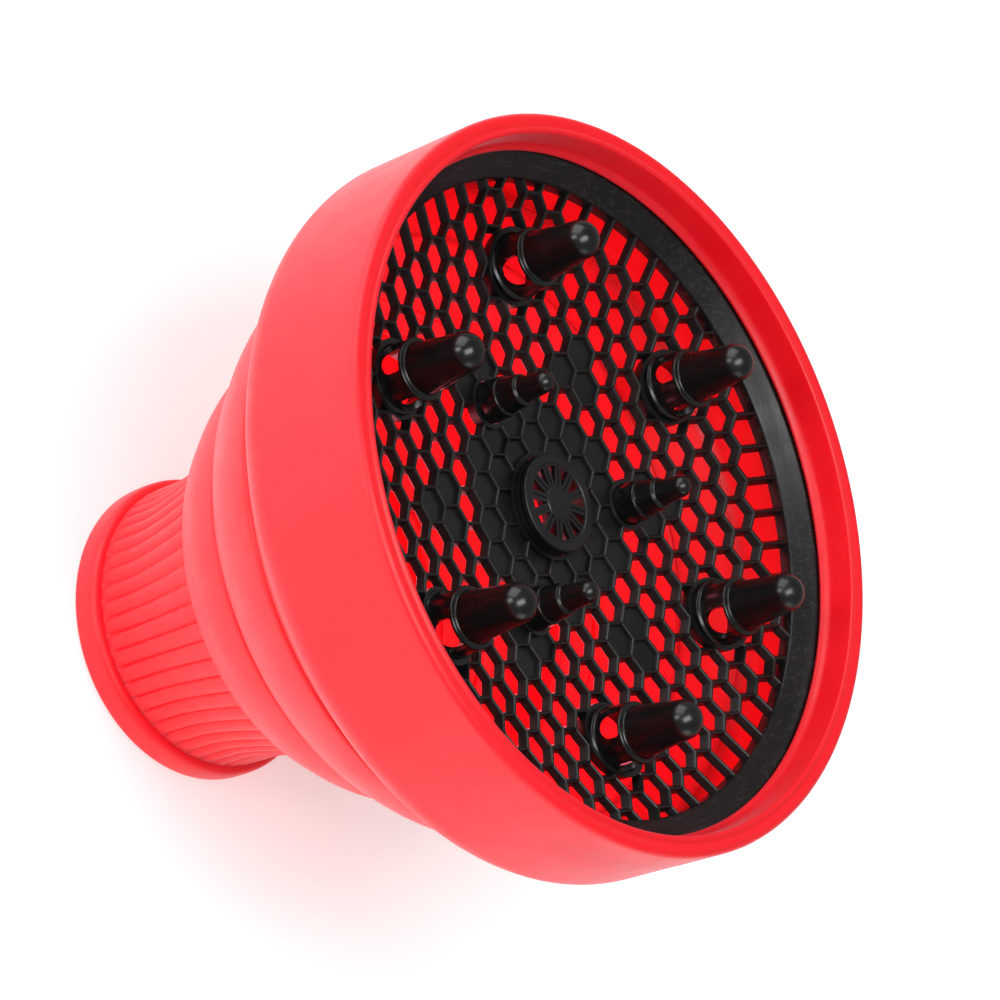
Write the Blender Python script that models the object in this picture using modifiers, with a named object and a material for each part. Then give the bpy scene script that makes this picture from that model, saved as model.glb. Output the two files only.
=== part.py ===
"""Collapsible hair-dryer diffuser: a silicone bellows with a dished honeycomb grille in its mouth.

Units are metres, +Z is up. The diffuser stands on the end of its neck flange: the origin is the centre
of that end face, and the mouth looks up. Every turned piece shares the Z axis, and so do the three
slides by which the bands telescope: neck, lower fold, upper fold, bowl.
"""

import math

import bmesh
import bpy
from mathutils import Matrix

MM = 0.001

# Heights along the axis, from the end face of the neck flange.
RIM_TOP = 126.0 * MM
RING_TOP = 117.0 * MM
RIM_BOTTOM = 113.6 * MM
GAP = 0.3 * MM

# The silicone shell.
RIM_OUTER = 75.1 * MM
RIM_INNER = 70.7 * MM
RIM_EDGE = 0.9 * MM
RIM_CROWN = 0.3 * MM
LEDGE_INNER = 69.6 * MM
BAND_WALL = 2.4 * MM
WEB_WALL = 1.0 * MM
BOWL_LIP_RADIUS = 7.0 * MM
BOWL_LIP_HEIGHT = 100.0 * MM
BOWL_LIP_SWEEP = 50.0
SEAT_WIDTH = 4.9 * MM
SEAT_DEPTH = 1.6 * MM
FOLD_BULGE = 1.1 * MM
UPPER_FOLD = ((63.0 * MM, 84.5 * MM), (55.4 * MM, 68.9 * MM))
LOWER_FOLD = ((50.4 * MM, 62.4 * MM), (43.2 * MM, 47.0 * MM))
NECK_WALL = 3.0 * MM
NECK_CREST = 31.1 * MM
NECK_BOTTOM = 7.1 * MM
NECK_FLARE_FROM = 15.0 * MM
NECK_TOP = 40.4 * MM
NECK_FLARE = 5.6 * MM
NECK_FLARE_POWER = 1.35
FLANGE_HEIGHT = 6.8 * MM
FLANGE_OUTER = 32.8 * MM
FLANGE_EDGE = 1.3 * MM

# The grille: a dish of hexagonal cells that sinks towards the neck.
PITCH = 7.0 * MM
CELL_WALL = 1.5 * MM
GRILLE_DEPTH = 2.0 * MM
GRILLE_RADIUS = 65.9 * MM
CELL_LIMIT = 65.0 * MM
DISH_CENTRE = 104.9 * MM
DISH_RISE = (5.2 * MM, 3.6 * MM)
POCKET_DEPTH = 1.2 * MM
RING_OUTER = 71.6 * MM
RING_FACE_OUTER = 69.6 * MM
RING_FACE_INNER = 66.2 * MM
RING_FACE_LOW = 114.7 * MM
RING_EDGE = 2.8 * MM
LAST_FULL_ROW = 9
CLOSED_HUB_ROWS = 3
CLOSED_CLUSTER = ((0, 6), (-0.5, 5), (0.5, 5))

# Fingers and hub.
FINGER_CIRCLE = 48.4 * MM
FINGER_BASE = 6.6 * MM
FINGER_SHOULDER = 6.3 * MM
FINGER_SHAFT = 5.3 * MM
FINGER_TIP = 4.0 * MM
SHOULDER_HEIGHT = 115.7 * MM
FINGER_TIP_HEIGHT = 126.4 * MM
FINGER_WALL = 1.2 * MM
WINDOW_LOW = 109.9 * MM
WINDOW_HIGH = 115.0 * MM
WINDOW_ANGLE = math.radians(66)
SMALL_CIRCLE = 24.25 * MM
SMALL_STAGES = ((4.3 * MM, 110.3 * MM), (3.5 * MM, 114.5 * MM), (2.7 * MM, 119.6 * MM))
SMALL_TIP = 2.25 * MM
SMALL_WALL = 0.9 * MM
HUB_OUTER = 10.1 * MM
HUB_WALL = 1.3 * MM
HUB_TOP = 107.8 * MM
HUB_LOW = 95.5 * MM
CAP_THICKNESS = 1.2 * MM
CAP_SLOTS = 12
CAP_SLOT_INNER = 3.7 * MM
CAP_SLOT_OUTER = 7.6 * MM
CAP_SLOT_ANGLE = math.radians(17)
COLLAR_WIDTH = 1.1 * MM

BAND_STEPS = 40
FINGER_STEPS = 15
SMALL_STEPS = 10
DISC_STEPS = 60
HUB_STEPS = 30

SILICONE = ((0.90, 0.08, 0.10), 0.45)
GLOSS_BLACK = ((0.012, 0.012, 0.013), 0.18)
SATIN_BLACK = ((0.020, 0.020, 0.022), 0.35)


def clear_scene():
    """Removes everything that the scene holds."""
    for obj in list(bpy.data.objects):
        bpy.data.objects.remove(obj, do_unlink=True)


def new_collection(name, helpers=False):
    """A collection of the scene; one for helpers stays out of the render."""
    collection = bpy.data.collections.new(name)
    collection.hide_render = helpers
    bpy.context.scene.collection.children.link(collection)
    return collection


def finish(node, look):
    """The piece's own Principled BSDF material."""
    colour, roughness = look
    material = bpy.data.materials.new(node + "_finish")
    material.use_nodes = True
    shader = material.node_tree.nodes["Principled BSDF"]
    shader.inputs["Base Color"].default_value = (*colour, 1.0)
    shader.inputs["Roughness"].default_value = roughness
    shader.inputs["Metallic"].default_value = 0.0
    return material


def slide_empty(name, height, parent, collection):
    """An empty on the slide axis that carries the pieces of one moving body."""
    empty = bpy.data.objects.new(name, None)
    collection.objects.link(empty)
    empty.parent = parent
    empty.location.z = height - (parent["height"] if parent else 0.0)
    empty["height"] = height
    return empty


def add_piece(name, mesh, look, body, collection):
    """Links a piece, gives it its finish and hangs it on its body's empty, or on none."""
    obj = bpy.data.objects.new(name, mesh)
    collection.objects.link(obj)
    obj.data.materials.append(finish(name, look))
    if body:
        obj.parent = body
        obj.location.z = -body["height"]
    return obj


def add_cutter(name, mesh, collection):
    """Links a hidden helper shape for Booleans."""
    obj = bpy.data.objects.new(name, mesh)
    collection.objects.link(obj)
    obj.hide_render = True
    obj.display_type = "WIRE"
    return obj


def boolean(obj, other, operation="DIFFERENCE"):
    """Adds one exact Boolean."""
    modifier = obj.modifiers.new(operation.title(), "BOOLEAN")
    modifier.operation = operation
    modifier.object = other
    modifier.solver = "EXACT"


def profile_mesh(name, outline, closed):
    """Edges through (radius, height) points in the XZ plane."""
    count = len(outline)
    edges = [(i, (i + 1) % count) for i in range(count if closed else count - 1)]
    mesh = bpy.data.meshes.new(name)
    mesh.from_pydata([(r, 0.0, z) for r, z in outline], edges, [])
    return mesh


def evaluated_mesh(obj):
    """A copy of the object's mesh with its modifiers worked in."""
    graph = bpy.context.evaluated_depsgraph_get()
    return bpy.data.meshes.new_from_object(obj.evaluated_get(graph))


def turned_piece(name, outline, look, body, collection, steps=BAND_STEPS, closed=True):
    """A turned piece: its outline runs down the outer side and back up the inner one."""
    profile = profile_mesh(name, outline, closed)
    obj = add_piece(name, profile, look, body, collection)
    screw = obj.modifiers.new("Turn", "SCREW")
    screw.axis = "Z"
    screw.angle = 2 * math.pi
    screw.steps = steps
    screw.render_steps = steps
    screw.use_merge_vertices = True
    screw.merge_threshold = 0.00001
    obj.data = evaluated_mesh(obj)
    obj.data.shade_smooth()
    obj.data.set_sharp_from_angle(angle=math.radians(35))
    obj.modifiers.clear()
    bpy.data.meshes.remove(profile)
    return obj


def arc(centre, radius, start, end, count):
    """Points of an arc, from one angle to another, both in degrees."""
    angles = [math.radians(start + (end - start) * i / count) for i in range(count + 1)]
    return [(centre[0] + radius * math.cos(a), centre[1] + radius * math.sin(a)) for a in angles]


def strip_outline(path, wall, cap_points=3):
    """A wall of even thickness round a centre line that runs downwards, with rounded ends."""
    half = wall / 2
    outer = []
    inner = []
    for index, (r, z) in enumerate(path):
        before = path[max(index - 1, 0)]
        after = path[min(index + 1, len(path) - 1)]
        heading = math.atan2(after[1] - before[1], after[0] - before[0])
        outward = (-math.sin(heading), math.cos(heading))
        outer.append((r + half * outward[0], z + half * outward[1]))
        inner.append((r - half * outward[0], z - half * outward[1]))
    top = math.degrees(math.atan2(path[0][1] - path[1][1], path[0][0] - path[1][0]))
    low = math.degrees(math.atan2(path[-1][1] - path[-2][1], path[-1][0] - path[-2][0]))
    low_cap = arc(path[-1], half, low + 90, low - 90, cap_points)[1:-1]
    top_cap = arc(path[0], half, top + 90, top - 90, cap_points)[1:-1]
    return outer + low_cap + inner[::-1] + top_cap


def bulged(start, end, bulge, count=3):
    """A line between two points that swells outwards by bulge in its middle."""
    length = math.hypot(end[0] - start[0], end[1] - start[1])
    outward = (-(end[1] - start[1]) / length, (end[0] - start[0]) / length)
    points = []
    for i in range(count + 1):
        t = i / count
        swell = bulge * 4 * t * (1 - t)
        r = start[0] + (end[0] - start[0]) * t + outward[0] * swell
        z = start[1] + (end[1] - start[1]) * t + outward[1] * swell
        points.append((r, z))
    return points


def web_path(upper, lower, upper_wall, lower_wall):
    """The thin wall between the lower lip of one band and the top of the next, clear of both."""
    heading = math.atan2(upper[1] - lower[1], upper[0] - lower[0])
    upper_clear = (upper_wall + WEB_WALL) / 2 + GAP
    lower_clear = (lower_wall + WEB_WALL) / 2 + GAP
    start = (upper[0] - upper_clear * math.cos(heading), upper[1] - upper_clear * math.sin(heading))
    end = (lower[0] + lower_clear * math.cos(heading), lower[1] + lower_clear * math.sin(heading))
    return [start, end]


def bowl_curl(offset, start, end, count=3):
    """An arc of the curl at the bowl's lower lip, offset from the middle of its wall."""
    centre = (RIM_OUTER - BAND_WALL / 2 - BOWL_LIP_RADIUS, BOWL_LIP_HEIGHT)
    return arc(centre, BOWL_LIP_RADIUS + offset, start, end, count)


def bowl_outline():
    """A plain cylinder that curls inwards at its lower lip, with an inner seat for the grille ring."""
    half = BAND_WALL / 2
    top = RIM_BOTTOM - GAP
    seat = RIM_OUTER - SEAT_WIDTH
    tip = bowl_curl(0.0, -BOWL_LIP_SWEEP, -BOWL_LIP_SWEEP, 1)[0]
    lip = arc(tip, half, -BOWL_LIP_SWEEP, -BOWL_LIP_SWEEP - 180, 3)[1:-1]
    outer = [(RIM_OUTER, top)] + bowl_curl(half, 0, -BOWL_LIP_SWEEP)
    inner = bowl_curl(-half, -BOWL_LIP_SWEEP, 0)
    slope = [(RIM_OUTER - BAND_WALL, top - SEAT_DEPTH - SEAT_WIDTH / 2), (seat, top - SEAT_DEPTH)]
    return outer + lip + inner + slope + [(seat, top)]


def rim_outline():
    """The thick lip with its crowned face, and the ledge that holds the grille ring in its groove."""
    edge = RIM_TOP - RIM_CROWN - RIM_EDGE
    face = arc((RIM_INNER + RIM_EDGE, edge), RIM_EDGE, 180, 90, 2)
    face.append(((RIM_INNER + RIM_OUTER) / 2, RIM_TOP))
    face += arc((RIM_OUTER - RIM_EDGE, edge), RIM_EDGE, 90, 0, 2)
    groove = RING_OUTER + 2 * GAP
    inner = [
        (RIM_INNER, RING_TOP + 3.6 * MM),
        (LEDGE_INNER, RING_TOP + 2.4 * MM),
        (LEDGE_INNER, RING_TOP + 2 * GAP),
        (groove, RING_TOP + 2 * GAP),
        (groove, RIM_BOTTOM),
        (RIM_OUTER, RIM_BOTTOM),
    ]
    return face + inner[::-1]


def neck_radius(height):
    """Outer radius of the neck: straight, then flaring towards the lower fold."""
    rise = max(height - NECK_FLARE_FROM, 0.0) / (NECK_TOP - NECK_FLARE_FROM)
    return NECK_CREST + NECK_FLARE * rise**NECK_FLARE_POWER


def neck_outline():
    """The neck's wall, with a rounded crown and a square foot on the flange."""
    heights = [NECK_TOP - (NECK_TOP - NECK_FLARE_FROM) * i / 4 for i in range(5)] + [NECK_BOTTOM]
    outer = [(neck_radius(z), z) for z in heights]
    inner = [(neck_radius(z) - NECK_WALL, z) for z in reversed(heights)]
    crown = arc((neck_radius(NECK_TOP) - NECK_WALL / 2, NECK_TOP), NECK_WALL / 2, 180, 0, 4)
    return outer + inner + crown[1:-1]


def flange_outline():
    """The end band: flat on both faces and outside, with rounded edges."""
    bore = NECK_CREST - NECK_WALL
    side = arc((FLANGE_OUTER - FLANGE_EDGE, FLANGE_HEIGHT - FLANGE_EDGE), FLANGE_EDGE, 90, 0, 2)
    side += arc((FLANGE_OUTER - FLANGE_EDGE, FLANGE_EDGE), FLANGE_EDGE, 0, -90, 2)
    return side + [(bore, 0.0), (bore, FLANGE_HEIGHT)]


def dish_rise(radius):
    """How far the grille's surfaces stand above their height on the axis."""
    share = (radius / CELL_LIMIT) ** 2
    return DISH_RISE[0] * share + DISH_RISE[1] * share**2


def ring_outline():
    """The grille's outer ring: a sloped black face, a groove edge and a skirt over the honeycomb."""
    top = RING_TOP + GAP
    return [
        (RING_OUTER, top),
        (RING_OUTER, RIM_BOTTOM),
        (RING_FACE_OUTER, RIM_BOTTOM),
        (RING_FACE_INNER + 1.6 * MM, RING_FACE_LOW - RING_EDGE),
        (RING_FACE_INNER, RING_FACE_LOW - RING_EDGE),
        (RING_FACE_INNER, RING_FACE_LOW),
        (RING_FACE_OUTER, top),
    ]


def extrusion(bm, outline, low, high):
    """Adds an upright extrusion of an outline."""
    base = bm.faces.new([bm.verts.new((x, y, low)) for x, y in outline])
    raised = bmesh.ops.extrude_face_region(bm, geom=[base])
    verts = [item for item in raised["geom"] if isinstance(item, bmesh.types.BMVert)]
    bmesh.ops.translate(bm, verts=verts, vec=(0.0, 0.0, high - low))
    bmesh.ops.recalc_face_normals(bm, faces=bm.faces)


def cylinder(bm, radius, steps, low, high, centre=(0.0, 0.0)):
    """Adds an upright cylinder or, with few steps, a prism that has a corner on +Y."""
    place = Matrix.Translation((*centre, (low + high) / 2))
    size = {"radius1": radius, "radius2": radius, "depth": high - low}
    bmesh.ops.create_cone(bm, cap_ends=True, segments=steps, matrix=place, **size)


def mesh_of(name, bm):
    """Turns a finished bmesh into a mesh."""
    mesh = bpy.data.meshes.new(name)
    bm.to_mesh(mesh)
    bm.free()
    return mesh


def rotated(point, turn_angle):
    """A point in the plane, turned about the axis."""
    x, y = point
    c, s = math.cos(turn_angle), math.sin(turn_angle)
    return (x * c - y * s, x * s + y * c)


def cell_centres():
    """Every honeycomb cell as (column, row), the column counted in whole or half pitches."""
    reach = LAST_FULL_ROW + 1
    cells = []
    for row in range(-reach, reach + 1):
        for step in range(-reach, reach + 1):
            column = step + 0.5 * (row % 2)
            cells.append((column, row))
    return cells


def ring_number(column, row):
    """How many cells a cell lies from the centre of the honeycomb."""
    return max(abs(row), abs(column) + abs(row) / 2)


def position(column, row):
    """Centre of a cell in the plane."""
    return (column * PITCH, row * PITCH * math.sqrt(3) / 2)


def closed_cells():
    """The cells with a floor: the middle of the grille and six clusters of three."""
    closed = {cell for cell in cell_centres() if ring_number(*cell) <= CLOSED_HUB_ROWS}
    for sixth in range(6):
        for cell in CLOSED_CLUSTER:
            x, y = rotated(position(*cell), sixth * math.pi / 3)
            row = round(y / (PITCH * math.sqrt(3) / 2))
            closed.add((round(2 * x / PITCH) / 2, row))
    return closed


def slot(column, sixth):
    """Outline of an edge cell whose side walls run straight out past the cell limit."""
    x, y = position(column, LAST_FULL_ROW + 1)
    half = (PITCH - CELL_WALL) / 2
    corner = (PITCH - CELL_WALL) / math.sqrt(3)
    far = CELL_LIMIT + PITCH
    outline = [(x - half, far), (x - half, y - corner / 2), (x, y - corner), (x + half, y - corner / 2)]
    outline.append((x + half, far))
    return [rotated(point, sixth * math.pi / 3) for point in outline]


def finger_places():
    """Angle and centre of each large finger."""
    angles = [sixth * math.pi / 3 for sixth in range(6)]
    return [(a, (FINGER_CIRCLE * math.cos(a), FINGER_CIRCLE * math.sin(a))) for a in angles]


def small_places():
    """Centre of each small finger, between every second pair of large ones."""
    angles = [math.radians(30 + 120 * i) for i in range(3)]
    return [(SMALL_CIRCLE * math.cos(a), SMALL_CIRCLE * math.sin(a)) for a in angles]


def grille_bores(extra):
    """Upright cylinders for the fingers and the hub, wider than their pieces by extra."""
    bm = bmesh.new()
    low, high = -GRILLE_DEPTH, 2 * GRILLE_DEPTH
    for _, centre in finger_places():
        cylinder(bm, FINGER_BASE + extra, FINGER_STEPS, low, high, centre)
    for centre in small_places():
        cylinder(bm, SMALL_STAGES[0][0] + extra, SMALL_STEPS, low, high, centre)
    cylinder(bm, HUB_OUTER + extra, HUB_STEPS, low, high)
    return bm


def cell_cutters():
    """Prisms for the open cells and slots, and shallow ones for the closed cells."""
    bm = bmesh.new()
    closed = closed_cells()
    floor = GRILLE_DEPTH - POCKET_DEPTH
    corner = (PITCH - CELL_WALL) / math.sqrt(3)
    for cell in cell_centres():
        if ring_number(*cell) > LAST_FULL_ROW:
            continue
        low = floor if cell in closed else -MM
        cylinder(bm, corner, 6, low, GRILLE_DEPTH + MM, position(*cell))
    for sixth in range(6):
        for column in range(-4, 5):
            extrusion(bm, slot(column, sixth), -MM, GRILLE_DEPTH + MM)
    return bm


def triangulated(mesh):
    """The mesh with its doubled points merged and its faces split into triangles."""
    bm = bmesh.new()
    bm.from_mesh(mesh)
    bmesh.ops.remove_doubles(bm, verts=bm.verts, dist=0.000002)
    bmesh.ops.triangulate(bm, faces=bm.faces)
    bm.to_mesh(mesh)
    bm.free()
    return mesh


def honeycomb(body, parts, helpers):
    """The honeycomb: cut flat, then every point is raised by the dish."""
    limit = bmesh.new()
    cylinder(limit, CELL_LIMIT, DISC_STEPS, -GRILLE_DEPTH, 2 * GRILLE_DEPTH)
    limit = add_cutter("cell_limit", mesh_of("cell_limit", limit), helpers)
    collars = add_cutter("collars", mesh_of("collars", grille_bores(GAP + COLLAR_WIDTH)), helpers)
    bores = add_cutter("bores", mesh_of("bores", grille_bores(GAP)), helpers)
    cells = add_cutter("cells", mesh_of("cells", cell_cutters()), helpers)
    boolean(cells, limit, "INTERSECT")
    boolean(cells, collars)
    plate = bmesh.new()
    cylinder(plate, GRILLE_RADIUS, DISC_STEPS, 0.0, GRILLE_DEPTH)
    flat = add_cutter("flat_grille", mesh_of("flat_grille", plate), helpers)
    boolean(flat, cells)
    boolean(flat, bores)
    mesh = triangulated(evaluated_mesh(flat))
    for vertex in mesh.vertices:
        vertex.co.z += DISH_CENTRE - GRILLE_DEPTH + dish_rise(vertex.co.xy.length)
    for helper in (flat, cells, collars, bores, limit):
        bpy.data.objects.remove(helper, do_unlink=True)
    mesh.name = "honeycomb_grille"
    return add_piece("honeycomb_grille", mesh, GLOSS_BLACK, body, parts)


def sector(inner, outer, middle, width, low, high):
    """An upright prism on a ring sector, for a window or a slot."""
    bm = bmesh.new()
    steps = 2
    angles = [middle - width / 2 + width * i / steps for i in range(steps + 1)]
    outline = [(outer * math.cos(a), outer * math.sin(a)) for a in angles]
    outline += [(inner * math.cos(a), inner * math.sin(a)) for a in reversed(angles)]
    extrusion(bm, outline, low, high)
    return bm


def finger_outline(base):
    """Half-section of a hollow finger from its domed tip down, then up the inside."""
    dome = arc((0.0, FINGER_TIP_HEIGHT), FINGER_TIP, 90, 0, 4)
    dome[0] = (0.0, FINGER_TIP_HEIGHT + FINGER_TIP)
    outer = [(FINGER_SHAFT, SHOULDER_HEIGHT), (FINGER_SHOULDER, SHOULDER_HEIGHT), (FINGER_BASE, base)]
    ceiling = SHOULDER_HEIGHT - FINGER_WALL
    inner = [
        (FINGER_BASE - FINGER_WALL, base),
        (FINGER_SHOULDER - FINGER_WALL, ceiling),
        (FINGER_SHAFT - FINGER_WALL, ceiling),
        (FINGER_TIP - FINGER_WALL, FINGER_TIP_HEIGHT),
        (0.0, FINGER_TIP_HEIGHT + MM),
    ]
    return dome + outer + inner


def large_fingers(body, parts, helpers):
    """Six hollow fingers, each with three windows in its base, one of them facing outwards."""
    base = DISH_CENTRE - GRILLE_DEPTH + dish_rise(FINGER_CIRCLE)
    reach = FINGER_BASE + MM
    for number, (angle, centre) in enumerate(finger_places(), start=1):
        name = f"large_finger_{number}"
        outline = finger_outline(base)
        finger = turned_piece(name, outline, GLOSS_BLACK, body, parts, FINGER_STEPS, closed=False)
        finger.location.x, finger.location.y = centre
        finger.rotation_euler.z = angle
        for window in range(3):
            turn_angle = window * 2 * math.pi / 3
            shape = sector(2 * MM, reach, turn_angle, WINDOW_ANGLE, WINDOW_LOW, WINDOW_HIGH)
            cutter = add_cutter(f"{name}_window_{window}", mesh_of("window", shape), helpers)
            cutter.parent = body
            cutter.location = finger.location
            cutter.rotation_euler.z = angle
            boolean(finger, cutter)


def small_outline(base):
    """Half-section of a small finger: three steps and a dome, hollow from below."""
    top = SMALL_STAGES[2][1]
    dome = arc((0.0, top), SMALL_TIP, 90, 0, 3)
    dome[0] = (0.0, top + SMALL_TIP)
    low, middle, high = SMALL_STAGES
    outer = [
        (high[0], middle[1]),
        (middle[0] - GAP, middle[1]),
        (middle[0], low[1]),
        (low[0] - GAP, low[1]),
        (low[0], base),
    ]
    inner = [
        (low[0] - SMALL_WALL, base),
        (low[0] - SMALL_WALL, low[1] - SMALL_WALL),
        (high[0] - SMALL_WALL, middle[1] - SMALL_WALL),
        (SMALL_TIP - SMALL_WALL, top),
        (0.0, top + GAP),
    ]
    return dome + outer + inner


def small_fingers(body, parts):
    """Three stepped fingers between the hub and the large ones."""
    base = DISH_CENTRE - GRILLE_DEPTH + dish_rise(SMALL_CIRCLE)
    for number, centre in enumerate(small_places(), start=1):
        name = f"small_finger_{number}"
        outline = small_outline(base)
        finger = turned_piece(name, outline, GLOSS_BLACK, body, parts, SMALL_STEPS, closed=False)
        finger.location.x, finger.location.y = centre


def hub(body, parts, helpers):
    """The hub: a short tube through the dish, and the spoked vent cap over it."""
    top = HUB_TOP - CAP_THICKNESS - GAP
    inner = HUB_OUTER - HUB_WALL
    tube = [(HUB_OUTER, top), (HUB_OUTER, HUB_LOW), (inner, HUB_LOW), (inner, top)]
    turned_piece("hub_boss", tube, GLOSS_BLACK, body, parts, HUB_STEPS)
    disc = bmesh.new()
    cylinder(disc, HUB_OUTER, HUB_STEPS, HUB_TOP - CAP_THICKNESS, HUB_TOP)
    cap = add_piece("hub_vent_cap", mesh_of("hub_vent_cap", disc), SATIN_BLACK, body, parts)
    slots = bmesh.new()
    for index in range(CAP_SLOTS):
        middle = 2 * math.pi * index / CAP_SLOTS
        half = CAP_SLOT_ANGLE / 2
        edges = [(CAP_SLOT_INNER, middle), (CAP_SLOT_OUTER, middle - half), (CAP_SLOT_OUTER, middle + half)]
        outline = [(r * math.cos(a), r * math.sin(a)) for r, a in edges]
        extrusion(slots, outline, HUB_TOP - 2 * CAP_THICKNESS, HUB_TOP + CAP_THICKNESS)
    cutter = add_cutter("cap_slots", mesh_of("cap_slots", slots), helpers)
    cutter.parent = body
    cutter.location.z = -body["height"]
    boolean(cap, cutter)


def shell(bodies, parts):
    """The silicone pieces, from the rim down to the flange, with the webs between the bands."""
    bowl, upper, lower = bodies
    upper_path = bulged(*UPPER_FOLD, FOLD_BULGE)
    lower_path = bulged(*LOWER_FOLD, FOLD_BULGE)
    bowl_tip = bowl_curl(0.0, -BOWL_LIP_SWEEP, -BOWL_LIP_SWEEP, 1)[0]
    neck_crown = (NECK_CREST + NECK_FLARE - NECK_WALL / 2, NECK_TOP)
    upper_web = web_path(bowl_tip, UPPER_FOLD[0], BAND_WALL, BAND_WALL)
    middle_web = web_path(UPPER_FOLD[1], LOWER_FOLD[0], BAND_WALL, BAND_WALL)
    lower_web = web_path(LOWER_FOLD[1], neck_crown, BAND_WALL, NECK_WALL)
    turned_piece("rim_lip", rim_outline(), SILICONE, bowl, parts)
    turned_piece("bowl_shell", bowl_outline(), SILICONE, bowl, parts)
    turned_piece("upper_web", strip_outline(upper_web, WEB_WALL, 1), SILICONE, upper, parts)
    turned_piece("upper_fold", strip_outline(upper_path, BAND_WALL), SILICONE, upper, parts)
    turned_piece("middle_web", strip_outline(middle_web, WEB_WALL, 1), SILICONE, lower, parts)
    turned_piece("lower_fold", strip_outline(lower_path, BAND_WALL), SILICONE, lower, parts)
    turned_piece("lower_web", strip_outline(lower_web, WEB_WALL, 1), SILICONE, None, parts)
    turned_piece("neck_collar", neck_outline(), SILICONE, None, parts)
    turned_piece("neck_flange", flange_outline(), SILICONE, None, parts)


def main():
    clear_scene()
    parts = new_collection("dryer_diffuser")
    helpers = new_collection("dryer_diffuser_cutters", helpers=True)
    lower = slide_empty("lower_fold_slide", LOWER_FOLD[1][1], None, parts)
    upper = slide_empty("upper_fold_slide", UPPER_FOLD[1][1], lower, parts)
    bowl = slide_empty("bowl_slide", BOWL_LIP_HEIGHT, upper, parts)
    shell((bowl, upper, lower), parts)
    turned_piece("grille_ring", ring_outline(), SATIN_BLACK, bowl, parts)
    honeycomb(bowl, parts, helpers)
    large_fingers(bowl, parts, helpers)
    small_fingers(bowl, parts)
    hub(bowl, parts, helpers)


main()
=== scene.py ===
import math

import bmesh
import bpy
from mathutils import Matrix, Vector


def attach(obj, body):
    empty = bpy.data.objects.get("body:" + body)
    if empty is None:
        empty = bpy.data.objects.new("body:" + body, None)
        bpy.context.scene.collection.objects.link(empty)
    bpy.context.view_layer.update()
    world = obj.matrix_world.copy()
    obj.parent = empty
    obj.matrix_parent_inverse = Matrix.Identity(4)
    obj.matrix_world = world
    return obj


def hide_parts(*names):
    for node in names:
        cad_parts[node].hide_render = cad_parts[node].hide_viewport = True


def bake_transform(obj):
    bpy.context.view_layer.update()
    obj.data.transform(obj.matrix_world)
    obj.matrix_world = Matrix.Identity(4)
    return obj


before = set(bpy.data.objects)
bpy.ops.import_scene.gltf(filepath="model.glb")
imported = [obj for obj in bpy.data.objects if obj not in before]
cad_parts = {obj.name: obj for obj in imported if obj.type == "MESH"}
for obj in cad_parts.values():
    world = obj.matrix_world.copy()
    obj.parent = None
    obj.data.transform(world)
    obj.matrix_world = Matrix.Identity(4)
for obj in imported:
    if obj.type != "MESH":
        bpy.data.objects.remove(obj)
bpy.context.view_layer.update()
MM = 0.001
# Driving dimensions, in millimetres, in the CAD's own frame: Z runs up the axis from the collar to the mouth.
PITCH, DEPTH = 7.0, 2.0
CREST, FOOT = 0.60, 1.85
ROW = PITCH * math.sqrt(3) / 2
BORE_R = 28.1
FLUTES, FLUTE_DEPTH = 54, 0.85
FLARE_LOW, FLARE_TOP = 15.0, 40.4
BAND_BULGE, BAND_WALL, LIP_BEAD = 1.1, 2.4, 0.45
GRILLE_R, LIMIT_R = 65.95, 65.7
RING_R, RING_INNER = 71.6, 65.25
LARGE_CIRCLE, SMALL_CIRCLE = 48.4, 24.25
HUB_R, HUB_LOW, SPOKES = 10.1, 95.5, 12


# ---------------------------------------------------------------- shapes (all in millimetres until linked)
def arc(cx, cz, r, a0, a1, n):
    """Points of an arc between two angles in degrees."""
    return [(cx + r * math.cos(math.radians(a0 + (a1 - a0) * i / n)),
             cz + r * math.sin(math.radians(a0 + (a1 - a0) * i / n))) for i in range(n + 1)]


def smoothed(points, rounds=2):
    """An open line with its corners cut (Chaikin), its ends kept."""
    for _ in range(rounds):
        cut = [points[0]]
        for p, q in zip(points, points[1:]):
            cut.append((p[0] * 0.75 + q[0] * 0.25, p[1] * 0.75 + q[1] * 0.25))
            cut.append((p[0] * 0.25 + q[0] * 0.75, p[1] * 0.25 + q[1] * 0.75))
        cut.append(points[-1])
        points = cut
    return points


def wall_outline(path, wall, cap=8, bead=0.0):
    """A wall round a centre line that runs downwards, thicker by bead at its lower lip."""
    first, last = wall, wall + bead
    outer, inner = [], []
    count = len(path) - 1
    for i, (r, z) in enumerate(path):
        a, b = path[max(i - 1, 0)], path[min(i + 1, count)]
        h = math.atan2(b[1] - a[1], b[0] - a[0])
        half = (wall + bead * max(i / count - 0.88, 0.0) / 0.12) / 2
        outer.append((r - half * math.sin(h), z + half * math.cos(h)))
        inner.append((r + half * math.sin(h), z - half * math.cos(h)))
    top = math.degrees(math.atan2(path[0][1] - path[1][1], path[0][0] - path[1][0]))
    low = math.degrees(math.atan2(path[-1][1] - path[-2][1], path[-1][0] - path[-2][0]))
    return (outer + arc(*path[-1], last / 2, low + 90, low - 90, cap)[1:-1]
            + inner[::-1] + arc(*path[0], first / 2, top + 90, top - 90, cap)[1:-1])


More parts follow.
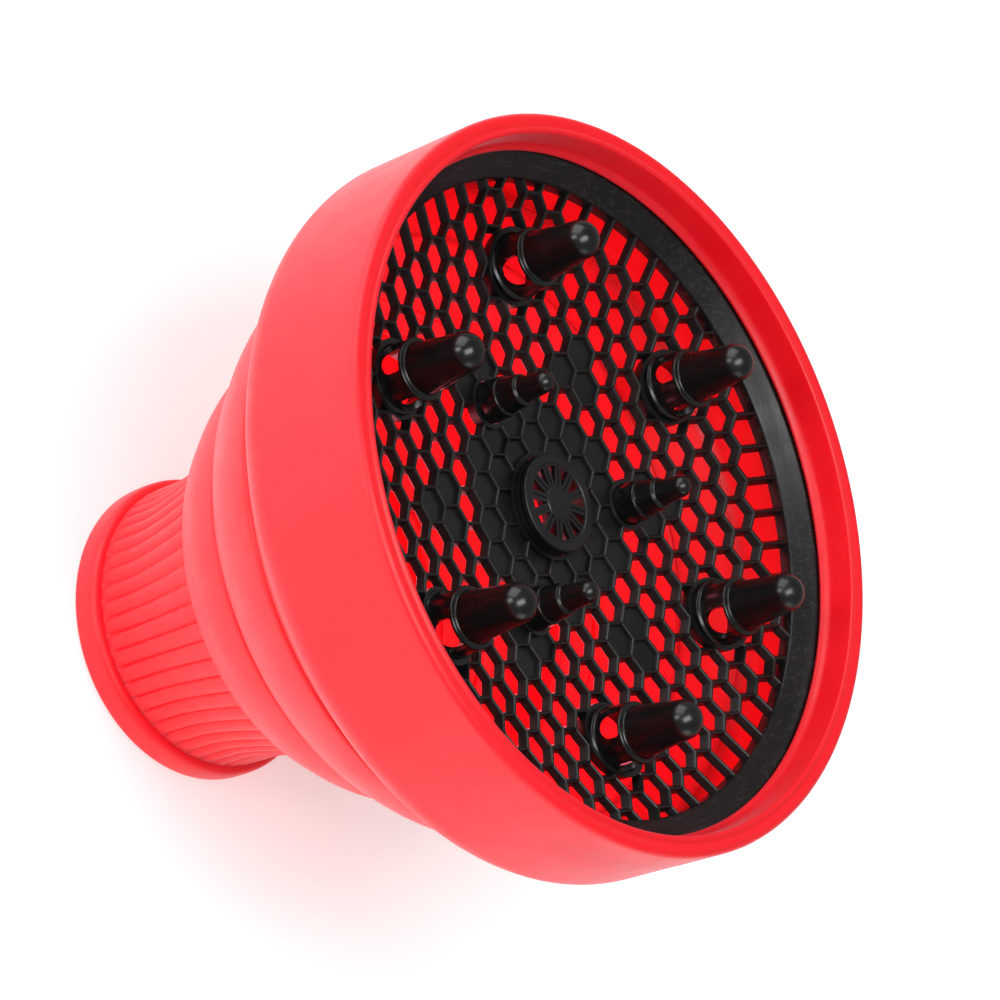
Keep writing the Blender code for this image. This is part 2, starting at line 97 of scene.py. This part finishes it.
def lathe(name, outline, steps=240, closed=True, shape=None):
    """Turns an outline (down its outer side, up its inner side) about Z. shape(r, z, angle, index) may
    move a point. Points on the axis become poles."""
    bm = bmesh.new()
    rings = []
    for k, (r, z) in enumerate(outline):
        if r < 1e-6:
            rings.append([bm.verts.new((0, 0, z * MM))] * steps)
            continue
        ring = []
        for i in range(steps):
            a = 2 * math.pi * i / steps
            rr, zz = shape(r, z, a, k) if shape else (r, z)
            ring.append(bm.verts.new((rr * MM * math.cos(a), rr * MM * math.sin(a), zz * MM)))
        rings.append(ring)
    pairs = list(zip(rings, rings[1:] + rings[:1] if closed else rings[1:]))
    for upper, lower in pairs:
        for i in range(steps):
            j = (i + 1) % steps
            quad = [upper[i], lower[i], lower[j], upper[j]]
            face = [v for n, v in enumerate(quad) if v not in quad[:n]]
            if len(face) > 2:
                bm.faces.new(face)
    return to_mesh(name, bm)


def to_mesh(name, bm, sharp=38):
    mesh = bpy.data.meshes.new(name)
    bm.to_mesh(mesh)
    bm.free()
    mesh.shade_smooth()
    mesh.set_sharp_from_angle(angle=math.radians(sharp))
    return mesh


def piece(name, mesh, material, body, stands_for=(), place=None):
    obj = bpy.data.objects.new(name, mesh)
    bpy.context.scene.collection.objects.link(obj)
    mesh.materials.clear()
    mesh.materials.append(material)
    if place:
        obj.matrix_world = place
        bpy.context.view_layer.update()
    if isinstance(body, str):
        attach(obj, body)
    else:
        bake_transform(obj)
    if stands_for:
        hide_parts(*stands_for)
    return obj


def prism(bm, outline, levels):
    """Adds a closed column over a function outline(level index) and its heights."""
    rings = [[bm.verts.new((x * MM, y * MM, z * MM)) for x, y in outline(i)] for i, z in enumerate(levels)]
    n = len(rings[0])
    for low, high in zip(rings, rings[1:]):
        for i in range(n):
            bm.faces.new([low[i], low[(i + 1) % n], high[(i + 1) % n], high[i]])
    bm.faces.new(rings[0][::-1])
    bm.faces.new(rings[-1])


def circle(r, n, centre=(0, 0), turn=0.0):
    return [(centre[0] + r * math.cos(turn + 2 * math.pi * i / n),
             centre[1] + r * math.sin(turn + 2 * math.pi * i / n)) for i in range(n)]


def cut(target, cutter, how="DIFFERENCE", solver="MANIFOLD"):
    """Works one Boolean in, and removes the cutter."""
    m = target.modifiers.new("Cut", "BOOLEAN")
    m.operation, m.object, m.solver = how, cutter, solver
    old = target.data
    graph = bpy.context.evaluated_depsgraph_get()
    target.data = bpy.data.meshes.new_from_object(target.evaluated_get(graph))
    target.modifiers.clear()
    bpy.data.meshes.remove(old)
    spare = cutter.data
    bpy.data.objects.remove(cutter, do_unlink=True)
    bpy.data.meshes.remove(spare)


def helper(name, bm):
    mesh = bpy.data.meshes.new(name)
    bm.to_mesh(mesh)
    bm.free()
    obj = bpy.data.objects.new(name, mesh)
    bpy.context.scene.collection.objects.link(obj)
    return obj


# ---------------------------------------------------------------- materials
class Look:
    """A Principled material and short ways to build its nodes."""

    def __init__(self, name, roughness, specular=0.5, coat=0.0, coat_roughness=0.1):
        self.material = bpy.data.materials.new(name)
        self.material.use_nodes = True
        self.tree = self.material.node_tree
        self.shader = self.tree.nodes["Principled BSDF"]
        self.shader.inputs["Specular IOR Level"].default_value = specular
        self.shader.inputs["Roughness"].default_value = roughness
        self.shader.inputs["Coat Weight"].default_value = coat
        self.shader.inputs["Coat Roughness"].default_value = coat_roughness
        self.place = self.tree.nodes.new("ShaderNodeTexCoord").outputs["Object"]

    def link(self, out, socket):
        self.tree.links.new(out, socket)

    def noise(self, scale, detail=4.0, rough=0.55, stretch=None):
        place = self.place
        if stretch:
            mapping = self.tree.nodes.new("ShaderNodeMapping")
            mapping.inputs["Scale"].default_value = stretch
            self.link(place, mapping.inputs["Vector"])
            place = mapping.outputs["Vector"]
        node = self.tree.nodes.new("ShaderNodeTexNoise")
        node.inputs["Scale"].default_value = scale
        node.inputs["Detail"].default_value = detail
        node.inputs["Roughness"].default_value = rough
        self.link(place, node.inputs["Vector"])
        return node.outputs["Fac"]

    def cells(self, scale, feature="F1"):
        node = self.tree.nodes.new("ShaderNodeTexVoronoi")
        node.feature = feature
        node.inputs["Scale"].default_value = scale
        self.link(self.place, node.inputs["Vector"])
        return node.outputs["Distance"]

    def map(self, value, low, high, to_low, to_high):
        node = self.tree.nodes.new("ShaderNodeMapRange")
        for socket, number in zip(("From Min", "From Max", "To Min", "To Max"), (low, high, to_low, to_high)):
            node.inputs[socket].default_value = number
        self.link(value, node.inputs["Value"])
        return node.outputs["Result"]

    def math(self, how, a, b):
        node = self.tree.nodes.new("ShaderNodeMath")
        node.operation = how
        for socket, value in zip(node.inputs, (a, b)):
            if isinstance(value, (int, float)):
                socket.default_value = value
            else:
                self.link(value, socket)
        return node.outputs[0]

    def ramp(self, value, *stops):
        node = self.tree.nodes.new("ShaderNodeValToRGB")
        ramp = node.color_ramp
        while len(ramp.elements) < len(stops):
            ramp.elements.new(0.5)
        for element, (at, colour) in zip(ramp.elements, stops):
            element.position = at
            element.color = (*colour, 1.0)
        self.link(value, node.inputs["Fac"])
        return node.outputs["Color"]

    def mix(self, share, a, b):
        node = self.tree.nodes.new("ShaderNodeMix")
        node.data_type = "RGBA"
        self.link(share, node.inputs["Factor"])
        for socket, value in ((node.inputs["A"], a), (node.inputs["B"], b)):
            if isinstance(value, tuple):
                socket.default_value = (*value, 1.0)
            else:
                self.link(value, socket)
        return node.outputs["Result"]

    def set(self, colour=None, roughness=None, bumps=()):
        if colour is not None:
            self.link(colour, self.shader.inputs["Base Color"])
        if roughness is not None:
            self.link(roughness, self.shader.inputs["Roughness"])
        normal = None
        for height, distance, strength in bumps:
            node = self.tree.nodes.new("ShaderNodeBump")
            node.inputs["Distance"].default_value = distance * MM
            node.inputs["Strength"].default_value = strength
            self.link(height, node.inputs["Height"])
            if normal is not None:
                self.link(normal, node.inputs["Normal"])
            normal = node.outputs["Normal"]
        if normal is not None:
            self.link(normal, self.shader.inputs["Normal"])
        return self.material


def silicone():
    look = Look("red_silicone", 0.44, specular=0.5)
    look.shader.inputs["Subsurface Weight"].default_value = 0.6
    look.shader.inputs["Sheen Weight"].default_value = 0.22
    look.shader.inputs["Sheen Roughness"].default_value = 0.35
    look.shader.inputs["Sheen Tint"].default_value = (1.0, 0.62, 0.68, 1.0)
    look.shader.inputs["Subsurface Radius"].default_value = (1.0, 0.06, 0.06)
    look.shader.inputs["Subsurface Scale"].default_value = 5.0 * MM
    cloud = look.noise(38, 3)
    grain = look.noise(900, 2)
    specks = look.cells(420)
    base = look.ramp(cloud, (0.3, (0.92, 0.0025, 0.012)), (0.7, (0.98, 0.0038, 0.017)))
    dust = look.map(specks, 0.0, 0.06, 1.0, 0.0)
    dust = look.math("MULTIPLY", dust, look.map(look.noise(60, 2), 0.55, 0.7, 0.0, 0.35))
    colour = look.mix(dust, base, (0.96, 0.06, 0.085))
    rough = look.map(look.noise(120, 4), 0.3, 0.7, 0.38, 0.50)
    return look.set(colour, rough, [(grain, 0.04, 0.5), (look.noise(160, 3), 0.12, 0.35)])


def gloss_black(name="black_gloss_plastic", rough=(0.16, 0.30), base=0.0035):
    look = Look(name, 0.2, specular=0.5)
    cloud = look.noise(90, 4)
    colour = look.ramp(cloud, (0.3, (base, base, base * 1.05)), (0.75, (base * 1.7, base * 1.7, base * 1.8)))
    scratch = look.noise(420, 3, 0.6, stretch=(1.0, 0.08, 1.0))
    rough_map = look.map(look.noise(170, 5), 0.3, 0.7, *rough)
    return look.set(colour, rough_map, [(look.noise(260, 3), 0.05, 0.35), (scratch, 0.02, 0.3)])


def satin_black(name="black_satin_plastic", base=0.005):
    look = Look(name, 0.4, specular=0.35)
    scratch_a = look.noise(1500, 2, 0.5, stretch=(1.0, 0.018, 1.0))
    scratch_b = look.noise(1500, 2, 0.5, stretch=(0.018, 1.0, 1.0))
    lines = look.math("MAXIMUM", look.map(scratch_a, 0.60, 0.65, 0.0, 1.0),
                      look.map(scratch_b, 0.60, 0.65, 0.0, 1.0))
    colour = look.mix(look.math("MULTIPLY", lines, 0.30), (base, base * 0.85, base * 0.90),
                      (0.045, 0.040, 0.041))
    rough = look.map(look.noise(140, 5), 0.3, 0.7, 0.30, 0.46)
    return look.set(colour, rough, [(lines, 0.03, 0.35), (look.noise(600, 2), 0.03, 0.4)])


SILICONE = silicone()
GLOSS = gloss_black(rough=(0.20, 0.32), base=0.003)
GRILLE = gloss_black("black_grille_plastic", (0.34, 0.46), 0.0030)
SATIN = satin_black()


# ---------------------------------------------------------------- the silicone shell
def bowl_outline():
    """Rim roll, bead, groove for the ring, seat, bowl wall and the curl at its lower lip, in one section."""
    outer = arc(71.35, 125.15, 0.6, 190, 30, 10) + [(72.25, 125.30), (72.9, 125.55)]
    outer += arc(73.6, 124.3, 1.5, 86, 0, 12)
    outer += [(75.1, 122.0), (75.1, 118.0), (75.05, 110.0), (75.05, 103.0)]
    outer += arc(66.9, 100.0, 8.15, -2, -52, 14)
    lip = arc(*arc(66.9, 100.0, 7.0, -52, -52, 1)[0], 1.15, -52, -232, 10)[1:-1]
    inner = arc(66.9, 100.0, 5.85, -52, 0, 12)
    seat = smoothed([(72.7, 104.0), (72.7, 108.2), (72.2, 109.2), (70.7, 110.8), (70.3, 111.4),
                     (70.3, 113.25)], 1)
    groove = [(72.2, 113.3), (72.2, 117.6), (70.2, 117.6)]
    bead = arc(70.0, 118.3, 0.45, 260, 120, 8)
    wall = smoothed([(69.9, 118.75), (70.55, 119.5), (70.75, 120.4), (70.75, 122.6), (70.75, 124.6)], 1)
    return outer + lip + inner + seat + groove + bead + wall


def band_outline(top, low, bulge, wall):
    """One bulged band, from its top edge to its lower lip."""
    (r0, z0), (r1, z1) = top, low
    length = math.hypot(r1 - r0, z1 - z0)
    nr, nz = -(z1 - z0) / length, (r1 - r0) / length
    path = []
    for i in range(33):
        t = i / 32
        swell = bulge * 4 * t * (1 - t)
        path.append((r0 + (r1 - r0) * t + nr * swell, z0 + (z1 - z0) * t + nz * swell))
    return wall_outline(path, wall, 10, LIP_BEAD)


def web_outline(upper, lower, wall):
    """The thin wall that runs from inside a band's lip to the next band's top."""
    (r0, z0), (r1, z1) = upper, lower
    path = [(r0 + (r1 - r0) * i / 14, z0 + (z1 - z0) * i / 14) for i in range(15)]
    return wall_outline(path, wall, 4)


def neck_radius(z):
    """The collar is straight low down and flares out to the lower fold."""
    return 31.1 + 5.6 * max((z - FLARE_LOW) / 25.4, 0.0) ** 1.35


def flute(angle):
    """0 on a rib's crown, up to 1 in the narrow groove beside it."""
    t = (angle / (2 * math.pi) * FLUTES) % 1.0
    if t > 0.84:
        return 0.52 + 0.48 * math.sin((t - 0.84) / 0.16 * math.pi)
    return 0.52 * abs(t / 0.84 * 2 - 1.0) ** 2.0


def neck():
    """The fluted collar, on which only the outer points are cut by the flutes."""
    heights = [FLARE_TOP - i * (FLARE_TOP - 7.4) / 30 for i in range(31)]
    outer = [(neck_radius(z), z) for z in heights] + [(31.05, 6.9)]
    inner = [(BORE_R, 6.9)] + [(neck_radius(z) - 3.0, z) for z in reversed(heights)]
    crown = arc(neck_radius(FLARE_TOP) - 1.5, FLARE_TOP, 1.5, 180, 0, 10)[1:-1]

    def shape(r, z, a, k):
        if k > 30 or z < 7.2:
            return r, z
        fade = min(max((z - 7.2) / 0.9, 0.0), 1.0) ** 0.5
        return r - FLUTE_DEPTH * fade * flute(a), z

    return lathe("neck", outer + inner + crown, FLUTES * 15, shape=shape)


def flange():
    """The collar's plain end band."""
    side = smoothed([(30.2, 6.85), (31.2, 6.8), (32.3, 6.3), (32.8, 5.3), (32.8, 1.6), (32.6, 0.3),
                     (31.4, 0.0)], 2)
    return lathe("flange", side + [(28.6, 0.0), (BORE_R, 0.5), (BORE_R, 6.95)], 288)


piece("silicone_bowl", lathe("silicone_bowl", bowl_outline(), 320), SILICONE, "bowl",
      ("rim_lip", "bowl_shell"))
piece("silicone_upper_fold",
      lathe("silicone_upper_fold", band_outline((63.0, 84.5), (55.4, 68.9), BAND_BULGE, BAND_WALL), 288),
      SILICONE, "upper_band", ("upper_fold",))
piece("silicone_lower_fold",
      lathe("silicone_lower_fold", band_outline((50.4, 62.4), (43.2, 47.0), BAND_BULGE, BAND_WALL), 256),
      SILICONE, "lower_band", ("lower_fold",))
piece("silicone_collar", neck(), SILICONE, "collar", ("neck_collar",))
piece("silicone_collar_band", flange(), SILICONE, "collar", ("neck_flange",))
for name, upper, lower, bodies, node in (
    ("silicone_upper_web", (70.2, 95.6), (63.0, 84.9), ("upper_band", "bowl"), "upper_web"),
    ("silicone_middle_web", (55.6, 69.6), (50.4, 62.8), ("lower_band", "upper_band"), "middle_web"),
    ("silicone_lower_web", (43.4, 47.7), (35.4, 40.8), ("collar", "lower_band"), "lower_web"),
):
    span = upper[1] - lower[1]
    piece(name, lathe(name, web_outline(upper, lower, 1.0), 200), SILICONE,
          (*bodies, (0, 0, (lower[1] + span * 0.12) * MM), (0, 0, (upper[1] - span * 0.12) * MM)),
          (node,))


# ---------------------------------------------------------------- the grille
def dish(r):
    """Height of the grille's top face, in millimetres."""
    s = (r / 65.0) ** 2
    return 104.9 + 5.2 * s + 3.6 * s * s


def rings(column, row):
    """How many cells out from the hub a cell is."""
    return max(abs(row), abs(column) + abs(row) / 2)


def spot(column, row):
    """A cell's centre."""
    return column * PITCH, row * ROW


def turned(x, y, a):
    return x * math.cos(a) - y * math.sin(a), x * math.sin(a) + y * math.cos(a)


CELLS = [(i + 0.5 * (j % 2), j) for j in range(-10, 11) for i in range(-11, 12)]
CLOSED = {c for c in CELLS if rings(*c) <= 3}
for sixth in range(6):
    for cell in ((0, 6), (-0.5, 5), (0.5, 5)):
        x, y = turned(*spot(*cell), sixth * math.pi / 3)
        CLOSED.add((round(2 * x / PITCH) / 2, round(y / ROW)))
LARGE = [(a, (LARGE_CIRCLE * math.cos(a), LARGE_CIRCLE * math.sin(a)))
         for a in (k * math.pi / 3 for k in range(6))]
SMALL = [(SMALL_CIRCLE * math.cos(math.radians(a)), SMALL_CIRCLE * math.sin(math.radians(a)))
         for a in (30, 150, 270)]


def columns(places, steps, low, high):
    """Round cutters, given as (radius, centre)."""
    bm = bmesh.new()
    for r, centre in places:
        prism(bm, lambda i: circle(r, steps, centre), (low, high))
    return bm


def rib_steps(low):
    """Half-widths of an opening up its height: the ribs between cells taper to a narrow rounded crest."""
    half = PITCH / 2
    taper = [(low, half - FOOT / 2 + (FOOT - CREST) / 2 * max(low, 0) / DEPTH)]
    if low < 0:
        taper.append((0.0, half - FOOT / 2 + 0.10))
        taper.append((0.15, half - FOOT / 2))
    taper.append((DEPTH - 0.30, half - CREST / 2 - 0.10))
    taper.append((DEPTH - 0.12, half - CREST / 2))
    taper.append((DEPTH, half - CREST / 2 + 0.14))
    taper.append((DEPTH + 0.5, half - CREST / 2 + 0.14))
    return taper


def cell_column(bm, centre, low):
    """The cutter of one six-sided cell, from its low face up."""
    steps = rib_steps(low)
    prism(bm, lambda i: circle(steps[i][1] / math.cos(math.pi / 6), 6, centre, math.pi / 2),
          [z for z, _ in steps])


def slot_column(bm, column, sixth):
    """An edge cell that runs straight out to the ring."""
    x, y = spot(column, 10)
    steps = rib_steps(-0.3)

    def outline(i):
        h = steps[i][1]
        c = h / math.cos(math.pi / 6)
        far = [(x + h, 70.0), (x - h, 70.0), (x - h, y - c / 2), (x, y - c), (x + h, y - c / 2)]
        return [turned(*p, sixth * math.pi / 3) for p in far]

    prism(bm, outline, [z for z, _ in steps])


def honeycomb():
    """Cuts the plate flat, then lifts every point onto the dish."""
    open_cells, floors = bmesh.new(), bmesh.new()
    for cell in CELLS:
        if rings(*cell) > 9:
            continue
        if cell in CLOSED:
            cell_column(floors, spot(*cell), DEPTH - 0.9)
        else:
            cell_column(open_cells, spot(*cell), -0.3)
    for sixth in range(6):
        for column in range(-4, 5):
            slot_column(open_cells, column, sixth)
    collars = [(7.9, c) for _, c in LARGE] + [(5.4, c) for c in SMALL] + [(11.2, (0, 0))]
    bores = [(6.75, c) for _, c in LARGE] + [(4.45, c) for c in SMALL] + [(10.25, (0, 0))]
    plate = helper("plate", columns([(GRILLE_R, (0, 0))], 240, 0.0, DEPTH))
    for cutter in (helper("open_cells", open_cells), helper("floors", floors)):
        cut(cutter, helper("limit", columns([(LIMIT_R, (0, 0))], 240, -9, 9)), "INTERSECT")
        cut(cutter, helper("collars", columns(collars, 40, -9, 9)))
        cut(plate, cutter)
    cut(plate, helper("bores", columns(bores, 40, -9, 9)))
    bm = bmesh.new()
    bm.from_mesh(plate.data)
    bmesh.ops.remove_doubles(bm, verts=bm.verts, dist=0.00001)
    for v in bm.verts:
        v.co.z += (dish(v.co.xy.length / MM) - DEPTH) * MM
    old = plate.data
    bpy.data.objects.remove(plate, do_unlink=True)
    bpy.data.meshes.remove(old)
    return to_mesh("honeycomb", bm, 30)


piece("grille_honeycomb", honeycomb(), GRILLE, "bowl", ("honeycomb_grille",))


def grille_ring():
    """The ring round the grille: a small step at its inner edge, then a slope up to a flat outer edge."""
    inner = dish(65.3)
    face = smoothed([(RING_INNER, inner - 0.5), (65.3, inner + 0.3), (65.9, inner + 0.75)], 2)
    slope = [(67.6, inner + 1.9), (69.3, 116.9)]
    top = smoothed([(69.5, 117.1), (69.9, 117.3), (71.4, 117.3), (RING_R, 117.1)], 1)
    under = [(RING_R, 113.65), (69.5, 113.65), (67.8, inner - DEPTH - 0.4),
             (RING_INNER, inner - DEPTH - 0.4)]
    return lathe("grille_ring", [(RING_R, 116.6)] + under + face + slope + top[:-1], 320)


piece("grille_ring_face", grille_ring(), SATIN, "bowl", ("grille_ring",))


# ---------------------------------------------------------------- fingers and hub
def window_cutter(angle, low, high, reach):
    """A rounded window column: a sector whose outline is a rounded arch, swept outwards."""
    bm = bmesh.new()
    half = math.radians(33)
    tall = high - low
    outline = [(half * 0.90, high), (-half * 0.90, high), (-half, high - 0.6), (-half, low + tall * 0.45)]
    for i in range(1, 12):
        t = math.pi + math.pi * i / 12
        outline.append((half * math.cos(t), low + tall * 0.45 * (1 + math.sin(t))))
    outline += [(half, low + tall * 0.45), (half, high - 0.6)]
    walls = []
    for r in (1.5, reach):
        walls.append([bm.verts.new((r * MM * math.cos(angle + a), r * MM * math.sin(angle + a), z * MM))
                       for a, z in outline])
    n = len(outline)
    for i in range(n):
        bm.faces.new([walls[0][i], walls[0][(i + 1) % n], walls[1][(i + 1) % n], walls[1][i]][::-1])
    bm.faces.new(walls[0])
    bm.faces.new(walls[1][::-1])
    bmesh.ops.recalc_face_normals(bm, faces=bm.faces)
    return helper("window", bm)


def without_object(obj, sharp):
    """The cut mesh of a helper object, with the object itself gone."""
    mesh = obj.data.copy()
    old = obj.data
    bpy.data.objects.remove(obj, do_unlink=True)
    bpy.data.meshes.remove(old)
    mesh.shade_smooth()
    mesh.set_sharp_from_angle(angle=math.radians(sharp))
    return mesh


def large_finger(number, angle, centre):
    """A hollow finger: a domed cone over a collar, a skirt with three windows and a flared foot."""
    base = dish(LARGE_CIRCLE) - DEPTH
    crest = dish(LARGE_CIRCLE)
    dome = [(0.0, 130.4)] + arc(0, 126.4, 4.0, 82, 0, 11)
    outer = [(4.3, 123.0), (4.95, 118.0), (5.2, 116.35)]
    foot = smoothed([(5.2, 116.35), (5.3, 115.85), (5.7, 115.7)], 1)[1:]
    shoulder = arc(5.85, 115.25, 0.45, 90, 0, 5)
    skirt = [(6.42, 112.0), (6.55, crest + 0.7)]
    flare = smoothed([(6.55, crest + 0.7), (6.72, crest + 0.45), (7.1, crest + 0.3),
                      (7.15, crest - 0.1)], 1)[1:]
    inner = [(6.62, crest - 0.3), (6.62, base), (5.4, base), (5.2, 114.5), (4.1, 114.6), (2.8, 126.2),
             (1.6, 128.3), (0.0, 128.9)]
    mesh = lathe("large_finger", dome + outer + foot + shoulder + skirt + flare + inner, 64, closed=False)
    obj = bpy.data.objects.new(f"finger_{number}", mesh)
    bpy.context.scene.collection.objects.link(obj)
    for k in range(3):
        cut(obj, window_cutter(k * 2 * math.pi / 3, 109.8, 115.1, 9.0), solver="EXACT")
    final = without_object(obj, 34)
    place = Matrix.Translation((centre[0] * MM, centre[1] * MM, 0)) @ Matrix.Rotation(angle, 4, "Z")
    piece(f"finger_{number}", final, GLOSS, "bowl", (f"large_finger_{number}",), place)


def small_finger(number, centre):
    """A hollow finger in three steps under a domed tip."""
    base = dish(SMALL_CIRCLE) - DEPTH
    dome = [(0.0, 121.85)] + arc(0, 119.6, 2.25, 80, 0, 9)
    outer = [(2.6, 115.0), (2.75, 114.7)] + arc(3.0, 114.25, 0.3, 90, 0, 4)
    outer += [(3.55, 110.7), (3.7, 110.4)] + arc(3.75, 109.95, 0.35, 90, 0, 4) + [(4.25, 107.0), (4.32, base)]
    inner = [(3.4, base), (3.3, 109.0), (2.0, 114.0), (1.4, 119.5), (0.0, 120.6)]
    mesh = lathe("small_finger", dome + outer + inner, 48, closed=False)
    place = Matrix.Translation((centre[0] * MM, centre[1] * MM, 0))
    piece(f"small_finger_piece_{number}", mesh, GLOSS, "bowl",
          (f"small_finger_{number}",), place)


for number, (angle, centre) in enumerate(LARGE, start=1):
    large_finger(number, angle, centre)
for number, centre in enumerate(SMALL, start=1):
    small_finger(number, centre)


def hub_cap():
    """A rimmed disc with twelve wedge openings; a fine groove runs down every spoke."""
    side = [(0.0, 107.75), (3.2, 107.75), (3.4, 107.6), (8.0, 107.6), (8.2, 107.8)]
    side += arc(9.7, 107.4, 0.4, 90, 0, 5) + [(HUB_R, 106.65), (0.0, 106.65)]
    blank = lathe("cap", side[:-1] + [(HUB_R, 106.62), (0.0, 106.62)], 96, closed=False)
    obj = bpy.data.objects.new("cap", blank)
    bpy.context.scene.collection.objects.link(obj)
    wedges, grooves = bmesh.new(), bmesh.new()
    for k in range(SPOKES):
        mid = 2 * math.pi * k / SPOKES
        half = math.radians(8.6)
        pts = [(3.7, mid)] + [(7.6, mid - half + half * 2 * i / 6) for i in range(7)]
        prism(wedges, lambda i: [(r * math.cos(a), r * math.sin(a)) for r, a in pts], (105.0, 110.0))
        spoke = mid + math.pi / SPOKES
        w = 0.16
        line = [(3.6, -w), (7.7, -w), (7.7, w), (3.6, w)]
        prism(grooves, lambda i: [turned(x, y, spoke) for x, y in line], (107.35, 108.5))
    cut(obj, helper("wedges", wedges), solver="EXACT")
    cut(obj, helper("grooves", grooves), solver="EXACT")
    return without_object(obj, 30)


piece("hub_cap", hub_cap(), gloss_black("black_hub_plastic", (0.34, 0.46), 0.004), "bowl",
      ("hub_vent_cap",))
tube = [(HUB_R, 106.3), (HUB_R, 104.9), (HUB_R, HUB_LOW), (8.8, HUB_LOW), (8.8, 106.3)]
piece("hub_tube", lathe("hub_tube", tube, 96), GRILLE, "bowl", ("hub_boss",))


# ---------------------------------------------------------------- studio
def camera():
    """Sets the camera and returns its right, its up and the direction back to it."""
    data = bpy.data.cameras.new("camera")
    data.sensor_width = 36.0
    data.lens = 135.22
    data.clip_start, data.clip_end = 0.01, 20.0
    cam = bpy.data.objects.new("camera", data)
    bpy.context.scene.collection.objects.link(cam)
    forward = Vector((0.16628, -0.76007, -0.62821)).normalized()
    right = forward.cross(Vector((0.96544, -0.00417, 0.26058))).normalized()
    up = right.cross(forward)
    turn = Matrix((right, up, -forward)).transposed().to_4x4()
    cam.matrix_world = Matrix.Translation((-0.120706, 0.572129, 0.565786)) @ turn
    bpy.context.scene.camera = cam
    return right, up, -forward


def softbox(name, aim, direction, distance, size, power):
    """A white rectangular lamp at a distance along a direction, turned to its aim."""
    data = bpy.data.lights.new(name, "AREA")
    data.shape, data.size, data.size_y = "RECTANGLE", size[0], size[1]
    data.energy = power
    lamp = bpy.data.objects.new(name, data)
    bpy.context.scene.collection.objects.link(lamp)
    lamp.location = aim + direction.normalized() * distance
    lamp.rotation_euler = (-direction).to_track_quat("-Z", "Y").to_euler()


RIGHT, UP, BACK = camera()
CENTRE = Vector((0, 0, 0.08))


def seen(x, y, z):
    """A direction given as right, up and towards the camera."""
    return RIGHT * x + UP * y + BACK * z


softbox("front", CENTRE, seen(0.38, 0.10, 0.9), 1.2, (0.45, 0.9), 9)
softbox("above", CENTRE, seen(-0.20, 0.95, 0.45), 1.5, (1.5, 1.2), 14)
softbox("left", CENTRE, seen(-0.60, 0.25, 0.75), 1.5, (0.4, 0.9), 7)
softbox("below", CENTRE, seen(0.28, -0.93, 0.22), 1.3, (0.9, 0.7), 2.5)
# The silicone lets light through, so the bowl is as bright inside as outside: three small fills are under
# the grille.
for number in range(3):
    inside = bpy.data.lights.new(f"inside_{number}", "POINT")
    inside.energy, inside.shadow_soft_size, inside.color = 0.022, 0.01, (1.0, 0.25, 0.32)
    lamp = bpy.data.objects.new(f"inside_{number}", inside)
    bpy.context.scene.collection.objects.link(lamp)
    lamp.location = (*[v * MM for v in turned(30.0, 0.0, math.radians(90 + 120 * number))], 0.080)
    lamp.visible_camera = False

floor_bm = bmesh.new()
bmesh.ops.create_grid(floor_bm, x_segments=2, y_segments=2, size=4.0)
floor = bpy.data.objects.new("floor", to_mesh("floor", floor_bm))
bpy.context.scene.collection.objects.link(floor)
look = Look("pale_floor", 0.3, specular=0.3)
look.shader.inputs["Emission Color"].default_value = (1, 1, 1, 1)
look.shader.inputs["Emission Strength"].default_value = 0.35
pale = look.ramp(look.noise(3, 2), (0.3, (0.95, 0.95, 0.95)), (0.7, (0.97, 0.97, 0.97)))
floor.data.materials.append(look.set(pale))
world = bpy.data.worlds.new("studio")
bpy.context.scene.world = world
world.use_nodes = True
world.node_tree.nodes["Background"].inputs["Color"].default_value = (1, 1, 1, 1)
world.node_tree.nodes["Background"].inputs["Strength"].default_value = 0.3
bpy.context.scene.view_settings.view_transform = "Standard"

bpy.context.view_layer.update()
